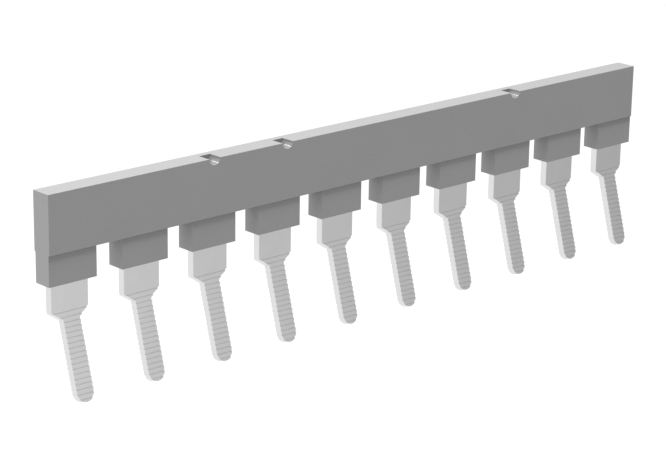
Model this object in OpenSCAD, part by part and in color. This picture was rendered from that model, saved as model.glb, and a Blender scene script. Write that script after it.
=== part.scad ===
// Terminal jumper: a stamped contact comb moulded into an insulating bar.
// The row runs along X. Z is up, and the fingers reach down and lean to the front, towards -Y.
// The origin is the middle of the bar's underside, which seats on the row of terminals.

/* [Contact row] */
// Number of contacts in the row
contact_count = 10; // [6:1:24]
// Distance between the centres of neighbouring contacts
contact_pitch = 6.2; // [5:0.1:12]

/* [Contact comb] */
// Thickness of the sheet that the comb is stamped from
sheet_thickness = 0.6; // [0.4:0.05:1]
// Width of the tongue in and below each collar
tongue_width = 3.1; // [2.2:0.1:4]
// Length of the tongue that shows below its collar, down to the shoulder
tongue_length = 2.05; // [0.5:0.05:6]
// Height of the shoulder, where the tongue narrows to the finger
shoulder_height = 0.6; // [0.3:0.05:1.5]
// Width of a finger, which ends in a full round
finger_width = 1.4; // [0.8:0.1:2]
// Length of a finger from the top of the shoulder to its tip
finger_length = 6.26; // [3:0.02:12]

/* [Finger steps] */
// Distance from the top of the shoulder to the first step
first_step = 0.11; // [0:0.01:1]
// Height from one step to the next
step_height = 0.35; // [0.2:0.05:1]
// Shift of the sheet towards the front at each step
step_shift = 0.1; // [0.02:0.01:0.3]

/* [Insulating bar] */
// Height of the bar
bar_height = 4.3; // [3:0.1:8]
// Plastic below the bottom edge of the comb's spine
spine_floor = 0.5; // [0.3:0.05:1]

/* [Insulating collars] */
// Plastic round each tongue, on all four sides
collar_wall = 0.45; // [0.25:0.05:0.8]
// Depth of a collar below the bar
collar_depth = 2.25; // [0.5:0.05:6]
// Step from the bar's front and back faces in to those of a collar
collar_step = 0.1; // [0.05:0.05:0.4]

/* [Top recesses] */
// Radius of the half-round recesses in the top front edge
recess_radius = 0.5; // [0.2:0.05:0.8]
// Plastic between a recess and the back of the bar
recess_back_wall = 0.55; // [0.3:0.05:1]
// Plastic between the bottom of a recess and the comb's spine
recess_floor = 0.2; // [0.1:0.05:0.6]
// Contact that an outer recess sits over, counted from its end of the row
recess_contact = 3; // [1:1:3]
// Distance of the inner recess from the outer one on its left
recess_spacing = 6.87; // [1:0.01:8]

/* [Hidden] */
$fn = 64;

// Length that a cutting solid runs past the face it cuts
cut_past = 1;

row_length = (contact_count - 1) * contact_pitch;
collar_width = tongue_width + 2 * collar_wall;
collar_thickness = sheet_thickness + 2 * collar_wall;
bar_length = row_length + collar_width;
bar_thickness = collar_thickness + 2 * collar_step;

spine_length = row_length + tongue_width;
spine_top = bar_height - recess_radius - recess_floor;
spine_height = spine_top - spine_floor;

shoulder_top = -collar_depth - tongue_length;
shoulder_bottom = shoulder_top - shoulder_height;
tip_end = shoulder_top - finger_length;
tip_centre = tip_end + finger_width / 2;

step_start = shoulder_top - first_step;
step_count = ceil((step_start - tip_end) / step_height);

recess_depth = bar_thickness - recess_back_wall;
recess_outer = row_length / 2 - (recess_contact - 1) * contact_pitch;

// Copies of a shape at every contact along the row
module at_contacts() {
    for (i = [0 : contact_count - 1])
        translate([i * contact_pitch - row_length / 2, 0, 0]) children();
}

// A front view, drawn as width and height, given a depth about the middle plane
module from_front(depth) {
    rotate([90, 0, 0]) linear_extrude(depth, center = true) children();
}

// A side view, drawn as depth and height, carried along the whole row
module from_side(length) {
    rotate([90, 0, 90]) linear_extrude(length, center = true) children();
}

// Front view of the spine, which joins the tongues inside the bar
module spine_outline() {
    translate([-spine_length / 2, spine_floor]) square([spine_length, spine_height]);
}

// Front view of the plain part of a tongue, from the spine's top edge to the shoulder
module tongue_outline() {
    translate([-tongue_width / 2, shoulder_top]) square([tongue_width, spine_top - shoulder_top]);
}

// Front view of a finger: sloped shoulders, a parallel blade and a round tip
module finger_outline() {
    polygon([
        [-tongue_width / 2, shoulder_top],
        [-finger_width / 2, shoulder_bottom],
        [-finger_width / 2, tip_centre],
        [finger_width / 2, tip_centre],
        [finger_width / 2, shoulder_bottom],
        [tongue_width / 2, shoulder_top],
    ]);
    translate([0, tip_centre]) circle(finger_width / 2);
}

// One face of the sheet from the side, top to bottom: straight, then a flight of steps to the front
function stepped_face(y) = [
    [y, spine_top],
    for (k = [0 : step_count - 1], shift = [k, k + 1])
        [y - shift * step_shift, step_start - k * step_height],
    [y - step_count * step_shift, tip_end],
];

function reversed(list) = [for (i = [len(list) - 1 : -1 : 0]) list[i]];

// Side view of the sheet, equally thick from the spine to the tip
module sheet_section() {
    front = stepped_face(-sheet_thickness / 2);
    back = stepped_face(sheet_thickness / 2);
    polygon(concat(front, reversed(back)));
}

// The part of the comb that the plastic takes hold of, before the fingers
module comb_blank() {
    from_front(sheet_thickness) {
        spine_outline();
        at_contacts() tongue_outline();
    }
}

module contact_comb() {
    reach = sheet_thickness + 2 * step_count * step_shift;
    color("silver") intersection() {
        from_front(reach) {
            spine_outline();
            at_contacts() {
                tongue_outline();
                finger_outline();
            }
        }
        from_side(spine_length) sheet_section();
    }
}

module bar() {
    translate([-bar_length / 2, -bar_thickness / 2, 0]) cube([bar_length, bar_thickness, bar_height]);
}

module collar() {
    translate([-collar_width / 2, -collar_thickness / 2, -collar_depth])
        cube([collar_width, collar_thickness, collar_depth + spine_floor]);
}

// A half-round trough along Y, open at the top and at the front
module recess() {
    translate([0, -bar_thickness / 2 + recess_depth, bar_height])
        rotate([90, 0, 0]) cylinder(h = recess_depth + cut_past, r = recess_radius);
}

// The plastic is moulded round the comb, so its inside is the comb's own shape
module insulating_housing() {
    color("gray") difference() {
        union() {
            bar();
            at_contacts() collar();
        }
        comb_blank();
        for (x = [-recess_outer, recess_spacing - recess_outer, recess_outer])
            translate([x, 0, 0]) recess();
    }
}

insulating_housing();
contact_comb();
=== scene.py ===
import math

import bmesh
import bpy
import numpy as np
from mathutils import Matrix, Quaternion, Vector


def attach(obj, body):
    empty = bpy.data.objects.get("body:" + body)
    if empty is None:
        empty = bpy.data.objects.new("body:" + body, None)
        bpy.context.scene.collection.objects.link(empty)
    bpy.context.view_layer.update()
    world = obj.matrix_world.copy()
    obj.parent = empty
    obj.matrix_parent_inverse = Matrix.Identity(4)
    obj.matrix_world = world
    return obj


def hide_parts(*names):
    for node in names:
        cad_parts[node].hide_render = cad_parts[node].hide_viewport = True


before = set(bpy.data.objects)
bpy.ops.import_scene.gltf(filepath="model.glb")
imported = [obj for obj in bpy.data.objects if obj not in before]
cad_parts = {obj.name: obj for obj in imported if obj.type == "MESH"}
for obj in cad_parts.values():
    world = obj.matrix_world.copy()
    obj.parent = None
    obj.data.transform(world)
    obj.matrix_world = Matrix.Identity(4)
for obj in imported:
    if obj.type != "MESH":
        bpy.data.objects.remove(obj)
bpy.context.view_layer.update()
scene = bpy.context.scene
mm = 0.001  # the frame is in metres, every size below in millimetres
print("frame loaded:", ", ".join(sorted(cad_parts)))

# the row of contacts, which both pieces follow
contacts = {"count": 10, "pitch": 6.2}
fingerX = (np.arange(contacts["count"]) - (contacts["count"] - 1) / 2) * contacts["pitch"]

# how both meshes are finished
finishing = {
    "mergeDistance": 1e-4,  # points nearer than this are one
    "roundAngle": 35, "roundSegments": 2, "roundProfile": 0.5,  # degrees, sharper edges become small arcs
    "smoothAngle": 20,  # degrees, so that the recess walls look round and flat faces flat
}


# joins rings of points into quads: ring after ring along the path, side after side round the closed profile
def ringQuads(ringCount, sideCount):
    ring, side = np.meshgrid(np.arange(ringCount - 1), np.arange(sideCount), indexing="ij")
    nextSide = (side + 1) % sideCount
    corners = (ring * sideCount + side, (ring + 1) * sideCount + side,
               (ring + 1) * sideCount + nextSide, ring * sideCount + nextSide)
    return np.stack(corners, axis=-1).reshape(-1, 4)


# closes the first and the last ring, where start is the first ring's first point
def endCaps(ringCount, sideCount, start=0):
    last = start + (ringCount - 1) * sideCount
    return [list(range(start, start + sideCount)), list(range(last + sideCount - 1, last - 1, -1))]


# merges coinciding points, rounds the sharp edges and scales millimetres to metres
def makePiece(name, points, faces, edgeRadius):
    mesh = bpy.data.meshes.new(name)
    mesh.from_pydata(points.tolist(), [], faces)
    work = bmesh.new()
    work.from_mesh(mesh)
    bmesh.ops.remove_doubles(work, verts=work.verts, dist=finishing["mergeDistance"])
    sharp = [e for e in work.edges if e.calc_face_angle(0.0) > math.radians(finishing["roundAngle"])]
    bmesh.ops.bevel(work, geom=sharp, offset=edgeRadius, offset_type="OFFSET",
                    segments=finishing["roundSegments"], profile=finishing["roundProfile"],
                    affect="EDGES", clamp_overlap=True)
    bmesh.ops.dissolve_degenerate(work, dist=finishing["mergeDistance"], edges=work.edges)
    bmesh.ops.scale(work, verts=work.verts, vec=(mm, mm, mm))
    work.to_mesh(mesh)
    openEdges = sum(len(e.link_faces) != 2 for e in work.edges)
    print("  volume", round(work.calc_volume() / mm ** 3, 3), "mm3,", len(work.faces), "faces,",
          openEdges, "open edges")
    work.free()
    mesh.polygons.foreach_set("use_smooth", np.ones(len(mesh.polygons), bool))
    mesh.set_sharp_from_angle(angle=math.radians(finishing["smoothAngle"]))
    piece = bpy.data.objects.new(name, mesh)
    scene.collection.objects.link(piece)
    return piece


# the moulded housing
housing = {
    "depth": 1.7, "height": 4.3,
    "collarWidth": 4.0, "collarDepth": 1.5, "collarDrop": 2.25,
    "recessX": (-15.5, -8.63, 15.5), "recessRadius": 0.5, "recessSteps": 24,
    "recessBack": 0.3,  # y of the recesses' back wall
    "edgeRadius": 0.03,
}


# how the bar's cross-section changes along x: its lower part drops by the collar's height inside a collar
# and by nothing in a gap, and its top front corner sinks by the half circle sqrt(r^2 - (x - xc)^2)
# inside a recess
def housingSections(h):
    half = h["collarWidth"] / 2
    left, right = fingerX - half, fingerX + half
    turn = np.linspace(math.pi, 0.0, h["recessSteps"] + 1)
    recess = (np.array(h["recessX"])[:, None] + h["recessRadius"] * np.cos(turn)).ravel()
    inCollar = np.abs(recess[:, None] - fingerX).min(axis=1) < half
    # a collar's side wall is two sections at one x, so each entry has x, the rank there and whether it drops
    sections = ((left[1:], 0, 0), (left, 1, 1), (right, 0, 1), (right[:-1], 1, 0), (recess, 0, inCollar))
    x = np.concatenate([at for at, rank, drops in sections])
    order = np.concatenate([np.full(at.shape, rank) for at, rank, drops in sections])
    collar = np.concatenate([np.broadcast_to(drops, at.shape) for at, rank, drops in sections])
    drop = collar * h["collarDrop"]
    sink = np.zeros_like(x)
    sink[-len(recess):] = np.tile(h["recessRadius"] * np.sin(turn), len(h["recessX"]))
    sortBy = np.lexsort((order, x))
    return x[sortBy], drop[sortBy], sink[sortBy]


# the section's ten corners: up the front, into the recess, over the top, down the back, round the collar
def housingPoints(h):
    x, drop, sink = housingSections(h)
    bar, collar, back = h["depth"] / 2, h["collarDepth"] / 2, h["recessBack"]
    foot, top = np.zeros_like(x), np.full_like(x, h["height"])
    y = np.array([-bar, -bar, back, back, bar, bar, collar, collar, -collar, -collar])
    z = np.stack((foot, top - sink, top - sink, top, top, foot, foot, -drop, -drop, foot), axis=1)
    return np.stack((np.broadcast_to(x[:, None], z.shape), np.broadcast_to(y, z.shape), z), axis=-1)


# marks the faces inside the recesses, which get a smoother finish and a darker tone that is painted shade:
# nearer to a recess's axis than its rim and in front of its back wall
def markRecesses(piece, h):
    mesh = piece.data
    centres = np.empty(3 * len(mesh.polygons))
    mesh.polygons.foreach_get("center", centres)
    x, y, z = centres.reshape(-1, 3).T / mm
    fromAxis = np.hypot(x[:, None] - np.array(h["recessX"]), z[:, None] - h["height"]).min(axis=1)
    rim = h["edgeRadius"]
    inside = (fromAxis < h["recessRadius"] + rim) & (y > rim - h["depth"] / 2) & (y < h["recessBack"] + rim)
    # the recess mask, which carries their polish and their painted shade
    mesh.attributes.new("polishAndPaintedShade", "FLOAT", "FACE").data.foreach_set("value", inside.astype(np.float32))
    return inside.sum()


points = housingPoints(housing)
rings, sides = points.shape[:2]
faces = ringQuads(rings, sides).tolist() + endCaps(rings, sides)
housingPiece = makePiece("mouldedHousing", points.reshape(-1, 3), faces, housing["edgeRadius"])
print("housing built,", markRecesses(housingPiece, housing), "recess faces")

# the stamped contact comb, with heights from the bar's underside
comb = {
    "thickness": 0.6, "tongueWidth": 3.1, "fingerWidth": 1.4,
    "shoulderTop": -4.3, "shoulderBottom": -4.9, "tipEnd": -10.56, "tipSteps": 12,
    "stepStart": -4.41, "stepHeight": 0.35, "stepShift": 0.1, "stepCount": 18,
    "spineLength": 58.9, "spineLow": 0.5, "spineHigh": 3.6, "rootOverlap": 0.4,
    "edgeRadius": 0.01,
}


# a rectangle carried down z: half its width follows tongue, shoulder, finger and the round tip
# sqrt(r^2 - (z - zc)^2), and it moves forward by one shift at each step, where two sections share one z;
# the leaning part is cut square to its slope, so its back slides down that slope by thickness * sin(lean)
def tinePoints(c):
    tipRadius = c["fingerWidth"] / 2
    tipCentre = c["tipEnd"] + tipRadius
    bendTop = c["shoulderTop"] + c["stepHeight"]
    tipZ = tipCentre - tipRadius * np.sin(np.linspace(0.0, math.pi / 2, c["tipSteps"]))
    rootZ = c["spineLow"] + c["rootOverlap"]
    plainZ = np.concatenate(([rootZ, bendTop, c["shoulderTop"], c["shoulderBottom"]], tipZ))
    stepZ = c["stepStart"] - c["stepHeight"] * np.arange(c["stepCount"])
    plainStep = (stepZ > plainZ[:, None] + finishing["mergeDistance"]).sum(axis=1)
    z = np.concatenate((plainZ, stepZ, stepZ))
    step = np.concatenate((plainStep, np.arange(c["stepCount"]), np.arange(c["stepCount"]) + 1))
    sortBy = np.lexsort((step, -z))
    z, step = z[sortBy], step[sortBy]
    straight = np.interp(-z, (-c["shoulderTop"], -c["shoulderBottom"]), (c["tongueWidth"] / 2, tipRadius))
    below = np.clip(tipCentre - z, 0.0, tipRadius)  # 0 above the round tip
    width = np.where(z > tipCentre, straight, np.sqrt(tipRadius ** 2 - below ** 2))
    front = -c["thickness"] / 2 - c["stepShift"] * step
    lean = math.atan2(c["stepShift"], c["stepHeight"])
    share = np.clip((bendTop - z) / c["stepHeight"], 0.0, 1.0)  # grows over the bend above the shoulder
    slide = c["thickness"] * math.sin(lean) * share
    back = front + c["thickness"] - slide * math.sin(lean)
    backZ = z - slide * math.cos(lean)
    corners = ((-width, width, width, -width), (front, front, back, back), (z, z, backZ, backZ))
    return np.stack([np.stack(row, axis=1) for row in corners], axis=-1)


# the spine inside the bar, which the tongues run into: one rectangle at its top and the same at its bottom
def spinePoints(c):
    x = c["spineLength"] / 2 * np.array([-1, 1, 1, -1])
    y = c["thickness"] / 2 * np.array([-1, -1, 1, 1])
    z = np.array([[c["spineHigh"]], [c["spineLow"]]])
    return np.stack(np.broadcast_arrays(x, y, z), axis=-1)


tine, spine = tinePoints(comb), spinePoints(comb)
rings, sides = tine.shape[:2]
shift = fingerX[:, None] * np.array([1.0, 0.0, 0.0])
points = np.concatenate(((tine + shift[:, None, None, :]).reshape(-1, 3), spine.reshape(-1, 3)))
start = rings * sides * np.arange(contacts["count"])  # each tine's first point
faces = (ringQuads(rings, sides) + start[:, None, None]).reshape(-1, 4).tolist()
faces += (np.arange(sides) + start[:, None]).tolist()  # the tines' tops, their tips close by themselves
spineStart = rings * sides * contacts["count"]
faces += (ringQuads(2, sides) + spineStart).tolist() + endCaps(2, sides, spineStart)
combPiece = makePiece("stampedComb", points, faces, comb["edgeRadius"])
print("comb built")


# sRGB hex to linear
def linear(hexCode):
    c = np.array([int(hexCode[i:i + 2], 16) for i in (1, 3, 5)]) / 255
    return (*np.where(c <= 0.04045, c / 12.92, ((c + 0.055) / 1.055) ** 2.4).tolist(), 1.0)


# adds a node with its settings, socket values and links
def addNode(tree, kind, settings=None, values=None, links=None):
    node = tree.nodes.new(kind)
    for key, value in (settings or {}).items():
        setattr(node, key, value)
    for key, value in (values or {}).items():
        node.inputs[key].default_value = value
    for key, source in (links or {}).items():
        tree.links.new(source, node.inputs[key])
    return node


def newMaterial(name):
    material = bpy.data.materials.new(name)
    material.use_nodes = True
    material.node_tree.nodes.clear()
    return material, material.node_tree


colourA, colourB, mixedColour = 6, 7, 2  # a Mix node's colour sockets, two in and one out
white = linear("#ffffff")

# grey glass-filled polyamide, moulded against a spark-eroded cavity: an even satin grey, with a short clear
# highlight and a darker tone painted
#  as shade in the round recesses, and a grain that only just breaks up the flat faces
polyamide = {
    "deep": "#9e9e9e", "pale": "#a2a2a2", "roughness": (0.26, 0.3), "ior": 1.53,
    "polishAndPaintedShade": "#888888", "polishedRoughness": 0.16,  # the recesses, left by smooth pins: smoother and without grain; their darker tone is painted shade
    "flowSize": 3.0, "flowDetail": 3.0,  # mm, cloudy change of tone along the melt's flow
    "grainSize": 0.2, "grainDetail": 2.0,  # mm, the real grain of about 0.06 is too fine to show
    "grainDepth": 0.0012,
}
material, tree = newMaterial("spark_eroded_polyamide")
place = addNode(tree, "ShaderNodeTexCoord").outputs["Object"]
flow = addNode(tree, "ShaderNodeTexNoise", links={"Vector": place},
               values={"Scale": 1 / (polyamide["flowSize"] * mm), "Detail": polyamide["flowDetail"]})
grain = addNode(tree, "ShaderNodeTexNoise", links={"Vector": place},
                values={"Scale": 1 / (polyamide["grainSize"] * mm), "Detail": polyamide["grainDetail"]})
tone = addNode(tree, "ShaderNodeMix", settings={"data_type": "RGBA"},
               values={colourA: linear(polyamide["deep"]), colourB: linear(polyamide["pale"])},
               links={"Factor": flow.outputs["Fac"]})
# the recess mask: it lowers roughness and drops the grain, and its darker tone is painted shade
recessPolishAndShade = addNode(tree, "ShaderNodeAttribute", settings={"attribute_name": "polishAndPaintedShade"}).outputs["Fac"]
# painted shade: the recess faces take the darker tone
body = addNode(tree, "ShaderNodeMix", settings={"data_type": "RGBA"},
               values={colourB: linear(polyamide["polishAndPaintedShade"])},
               links={"Factor": recessPolishAndShade, colourA: tone.outputs[mixedColour]})
gloss = addNode(tree, "ShaderNodeMapRange", links={"Value": grain.outputs["Fac"]},
                values={"To Min": polyamide["roughness"][0], "To Max": polyamide["roughness"][1]})
finish = addNode(tree, "ShaderNodeMix", values={"B": polyamide["polishedRoughness"]},
                 links={"Factor": recessPolishAndShade, "A": gloss.outputs[0]})
grained = addNode(tree, "ShaderNodeMath", settings={"operation": "SUBTRACT"},
                  values={0: 1.0}, links={1: recessPolishAndShade})  # none in the recesses
relief = addNode(tree, "ShaderNodeBump", values={"Distance": polyamide["grainDepth"] * mm},
                 links={"Strength": grained.outputs[0], "Height": grain.outputs["Fac"]})
shader = addNode(tree, "ShaderNodeBsdfPrincipled", values={"IOR": polyamide["ior"]},
                 links={"Base Color": body.outputs[mixedColour], "Roughness": finish.outputs[0],
                        "Normal": relief.outputs[0]})
addNode(tree, "ShaderNodeOutputMaterial", links={"Surface": shader.outputs[0]})
housingPiece.data.materials.append(material)

# copper alloy strip, stamped and satin tin plated: a pale metal grey that takes the tone of the room on
# each side, with faint rolling lines down the strip
tin = {
    "deep": "#dddddd", "pale": "#e5e5e5", "roughness": (0.2, 0.25),
    "lineWidth": 0.12, "lineLength": 4.0,  # mm, real lines of about 0.02 are too fine to show
    "lineDetail": 2.0, "lineDepth": 0.0006,
    "cloudSize": 1.5, "cloudDetail": 3.0,  # mm, uneven crystal size of the plating
}
material, tree = newMaterial("satin_tin_plated_strip")
place = addNode(tree, "ShaderNodeTexCoord").outputs["Object"]
lineSize = np.array([tin["lineWidth"], tin["lineWidth"], tin["lineLength"]]) * mm
stretch = addNode(tree, "ShaderNodeMapping", links={"Vector": place},
                  values={"Scale": (1 / lineSize).tolist()})
lines = addNode(tree, "ShaderNodeTexNoise", values={"Scale": 1.0, "Detail": tin["lineDetail"]},
                links={"Vector": stretch.outputs[0]})
cloud = addNode(tree, "ShaderNodeTexNoise", links={"Vector": place},
                values={"Scale": 1 / (tin["cloudSize"] * mm), "Detail": tin["cloudDetail"]})
tone = addNode(tree, "ShaderNodeMix", settings={"data_type": "RGBA"},
               values={colourA: linear(tin["deep"]), colourB: linear(tin["pale"])},
               links={"Factor": cloud.outputs["Fac"]})
gloss = addNode(tree, "ShaderNodeMapRange", links={"Value": lines.outputs["Fac"]},
                values={"To Min": tin["roughness"][0], "To Max": tin["roughness"][1]})
relief = addNode(tree, "ShaderNodeBump", values={"Strength": 1.0, "Distance": tin["lineDepth"] * mm},
                 links={"Height": lines.outputs["Fac"]})
shader = addNode(tree, "ShaderNodeBsdfPrincipled", values={"Metallic": 1.0},
                 links={"Base Color": tone.outputs[mixedColour], "Roughness": gloss.outputs[0],
                        "Normal": relief.outputs[0]})
addNode(tree, "ShaderNodeOutputMaterial", links={"Surface": shader.outputs[0]})
combPiece.data.materials.append(material)
print("materials made")

# the room: white where the camera looks, and for metal and gloss white all round with a darker side at +x
room = {
    "seen": 1.0, "ambient": 0.5,
    "mirrorSpan": (0.36, 0.92), "mirrorLevels": (1.0, 0.26),  # x of the mirrored direction, the grey there
}
world = bpy.data.worlds.new("studioRoom")
world.use_nodes = True
world.cycles.sampling_method = "NONE"  # it differs by the kind of ray, so it isn't sampled as a lamp
scene.world = world
tree = world.node_tree
tree.nodes.clear()
rays = addNode(tree, "ShaderNodeLightPath").outputs
direction = addNode(tree, "ShaderNodeTexCoord").outputs["Generated"]
towards = addNode(tree, "ShaderNodeSeparateXYZ", links={0: direction})
level = addNode(tree, "ShaderNodeMapRange", links={"Value": towards.outputs["X"]},
                values={"From Min": room["mirrorSpan"][0], "From Max": room["mirrorSpan"][1],
                        "To Min": room["mirrorLevels"][0], "To Max": room["mirrorLevels"][1]})
mirrored = addNode(tree, "ShaderNodeMix", values={"A": room["ambient"]},
                   links={"Factor": rays["Is Glossy Ray"], "B": level.outputs[0]})
seen = addNode(tree, "ShaderNodeMath", settings={"operation": "MAXIMUM"},
               links={0: rays["Is Camera Ray"], 1: rays["Is Transmission Ray"]})
shown = addNode(tree, "ShaderNodeMix", values={"B": room["seen"]},
                links={"Factor": seen.outputs[0], "A": mirrored.outputs[0]})
light = addNode(tree, "ShaderNodeBackground", values={"Color": white}, links={"Strength": shown.outputs[0]})
addNode(tree, "ShaderNodeOutputWorld", links={"Surface": light.outputs[0]})

# the floor keeps its shadow: near the part most of what the camera sees there is lit paper, further out
# it is plain white
paper = {
    "height": -40.0, "size": 1500.0, "tone": "#818181", "seenTone": "#d2d2d2",
    "glow": (0.4, 1.0), "glowRadius": (120.0, 400.0),  # share of plain white, and how far from the part
}
floorX = paper["size"] / 2 * np.array([-1, 1, 1, -1])
floorY = paper["size"] / 2 * np.array([-1, -1, 1, 1])
mesh = bpy.data.meshes.new("studioFloor")
corners = np.column_stack((floorX, floorY, np.full_like(floorX, paper["height"]))) * mm
mesh.from_pydata(corners.tolist(), [], [(0, 1, 2, 3)])
floor = bpy.data.objects.new("studioFloor", mesh)
scene.collection.objects.link(floor)
material, tree = newMaterial("matt_white_paper")
rays = addNode(tree, "ShaderNodeLightPath").outputs
place = addNode(tree, "ShaderNodeTexCoord").outputs["Object"]
seen = addNode(tree, "ShaderNodeMath", settings={"operation": "MAXIMUM"},
               links={0: rays["Is Camera Ray"], 1: rays["Is Transmission Ray"]})
tone = addNode(tree, "ShaderNodeMix", settings={"data_type": "RGBA"},
               values={colourA: linear(paper["tone"]), colourB: linear(paper["seenTone"])},
               links={"Factor": seen.outputs[0]})
matt = addNode(tree, "ShaderNodeBsdfDiffuse", links={"Color": tone.outputs[mixedColour]})
glow = addNode(tree, "ShaderNodeEmission", values={"Color": white, "Strength": 1.0})
reach = addNode(tree, "ShaderNodeVectorMath", settings={"operation": "LENGTH"}, links={0: place})
fade = addNode(tree, "ShaderNodeMapRange", links={"Value": reach.outputs["Value"]},
               values={"From Min": paper["glowRadius"][0] * mm, "From Max": paper["glowRadius"][1] * mm,
                       "To Min": paper["glow"][0], "To Max": paper["glow"][1]})
share = addNode(tree, "ShaderNodeMath", settings={"operation": "MULTIPLY"},
                links={0: seen.outputs[0], 1: fade.outputs[0]})
both = addNode(tree, "ShaderNodeMixShader",
               links={0: share.outputs[0], 1: matt.outputs[0], 2: glow.outputs[0]})
addNode(tree, "ShaderNodeOutputMaterial", links={"Surface": both.outputs[0]})
material.cycles.emission_sampling = "NONE"  # the glow is for the camera alone, it lights nothing
floor.data.materials.append(material)
floor.visible_glossy = False  # gloss shows the room all round
print("room and floor made")

# soft round lamps, aimed at the part: spread is the half angle that each fills, in degrees;
# only the small one is mirrored, elsewhere a glossy face shows the room
lamps = {
    "overhead": {"azimuth": 0, "elevation": 80.5, "spread": 6.5, "watts": 25.4, "mirrored": False},
    "left": {"azimuth": -106, "elevation": 15, "spread": 35, "watts": 17.3, "mirrored": False},
    "backLeft": {"azimuth": -164.4, "elevation": 43.4, "spread": 5, "watts": 2.5, "mirrored": True},
}
lampDistance = 1500.0


# a unit vector: azimuth from the front (-y) towards +x, elevation up from the floor
def heading(azimuth, elevation):
    turn, lift = math.radians(azimuth), math.radians(elevation)
    return Vector((math.sin(turn) * math.cos(lift), -math.cos(turn) * math.cos(lift), math.sin(lift)))


for name, lamp in lamps.items():
    toLamp = heading(lamp["azimuth"], lamp["elevation"])
    data = bpy.data.lights.new(name, "AREA")
    data.shape = "DISK"
    data.size = 2 * lampDistance * math.tan(math.radians(lamp["spread"])) * mm
    data.energy = lamp["watts"]
    lampObject = bpy.data.objects.new(name, data)
    lampObject.location = toLamp * lampDistance * mm
    lampObject.rotation_euler = toLamp.to_track_quat("Z", "Y").to_euler()
    lampObject.visible_camera = False
    lampObject.visible_glossy = lamp["mirrored"]
    scene.collection.objects.link(lampObject)
print("lamps set:", len(lamps))

# the camera, where the picture was taken from
view = {
    "eye": (-114.8807, -120.274, 47.2742), "aim": (-2.0397, 1.2921, -4.414),
    "roll": 0.9086,  # degrees
    "lens": 123.3972, "sensor": 36.0, "clipStart": 10.0,
}
eye = Vector(view["eye"]) * mm
toAim = Vector(view["aim"]) * mm - eye
roll = Quaternion((0, 0, 1), math.radians(view["roll"]))
data = bpy.data.cameras.new("camera")
data.sensor_width = view["sensor"]
data.lens = view["lens"]
data.clip_start = view["clipStart"] * mm
camera = bpy.data.objects.new("camera", data)
camera.location = eye
camera.rotation_mode = "QUATERNION"
camera.rotation_quaternion = toAim.to_track_quat("-Z", "Y") @ roll
scene.collection.objects.link(camera)
scene.camera = camera
scene.view_settings.view_transform = "Standard"
print("camera set")

# what rides where, and which solid each piece stands for
for piece, node, slot in ((housingPiece, "insulating_housing", "housing_plastic"),
                          (combPiece, "contact_comb", "comb_metal")):
    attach(piece, "root")
    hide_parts(node)
